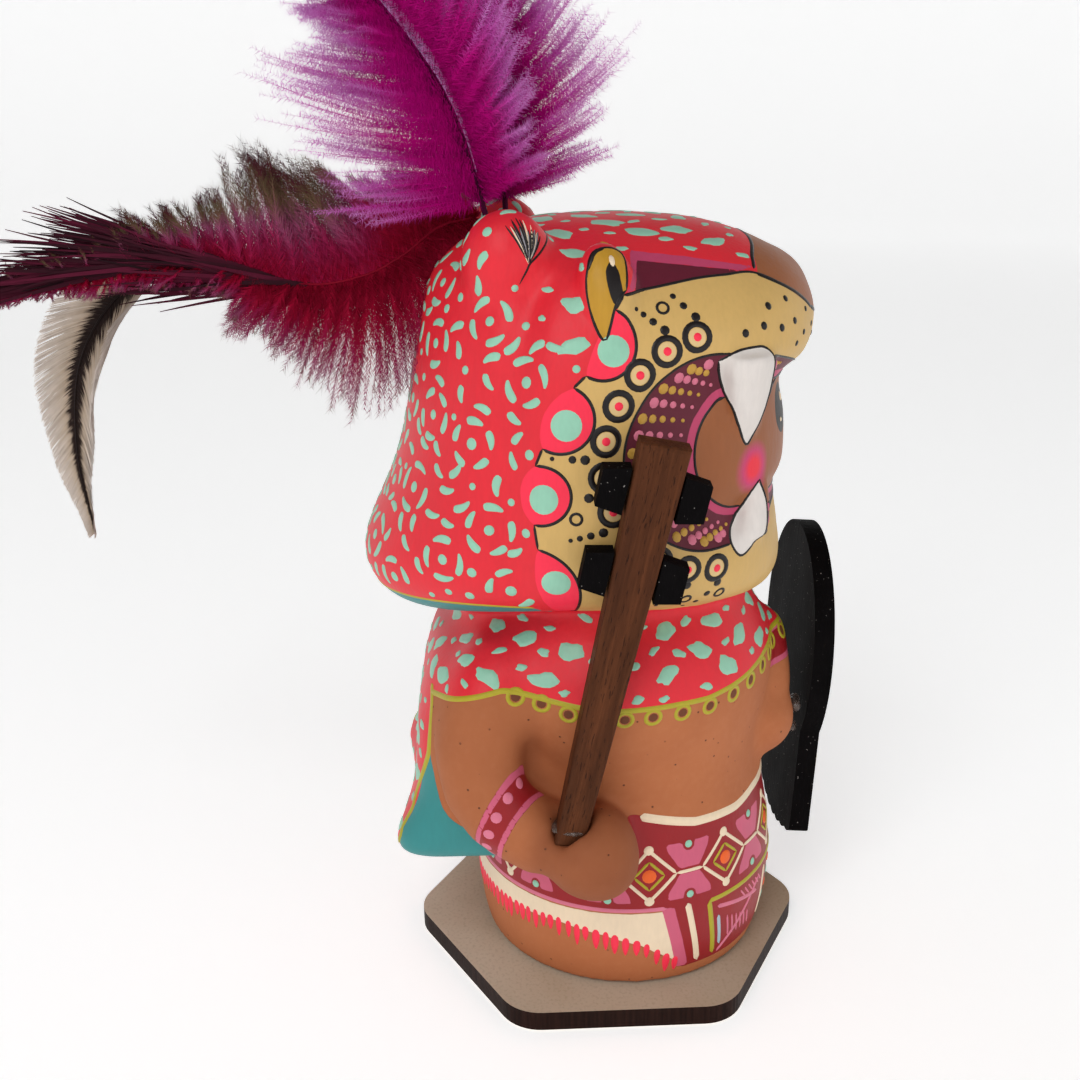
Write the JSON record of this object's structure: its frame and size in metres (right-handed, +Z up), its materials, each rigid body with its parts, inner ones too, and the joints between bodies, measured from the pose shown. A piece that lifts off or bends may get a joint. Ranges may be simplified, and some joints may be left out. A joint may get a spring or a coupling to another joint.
{
  "type": "clay folk figurine",
  "caption": "Painted clay warrior in a spotted-cat helmet with feathers, holding a bladed club and a round shield, on a hexagonal base plate.",
  "frame": {"origin": "centre of the base plate's underside, at z = 0", "axes": "+Z up; the figure faces -Y and its right hand with the club is on -X; two corners of the hexagon are on the Y axis"},
  "size_m": [0.0658, 0.1275, 0.1534],
  "materials": {
    "painted_clay": "matt fired clay painted in satin acrylic",
    "fibreboard": "laser-cut fibreboard, burnt edge",
    "dark_wood": "stained fine-grained hardwood",
    "black_board": "fibreboard painted matt black",
    "magenta_feather": "dyed fluffy feather",
    "crimson_feather": "dyed fluffy feather",
    "cream_feather": "smooth feather with a dark centre"
  },
  "bodies": {
    "root": {"clay_figure": "painted_clay", "base_plate": "fibreboard", "club": "dark_wood", "blade_lower_rear": "black_board", "blade_lower_front": "black_board", "blade_upper_rear": "black_board", "blade_upper_front": "black_board", "shield": "black_board", "feather_magenta_front": "magenta_feather", "feather_magenta_back": "magenta_feather", "feather_crimson": "crimson_feather", "feather_rooster": "cream_feather"}
  },
  "joints": []
}
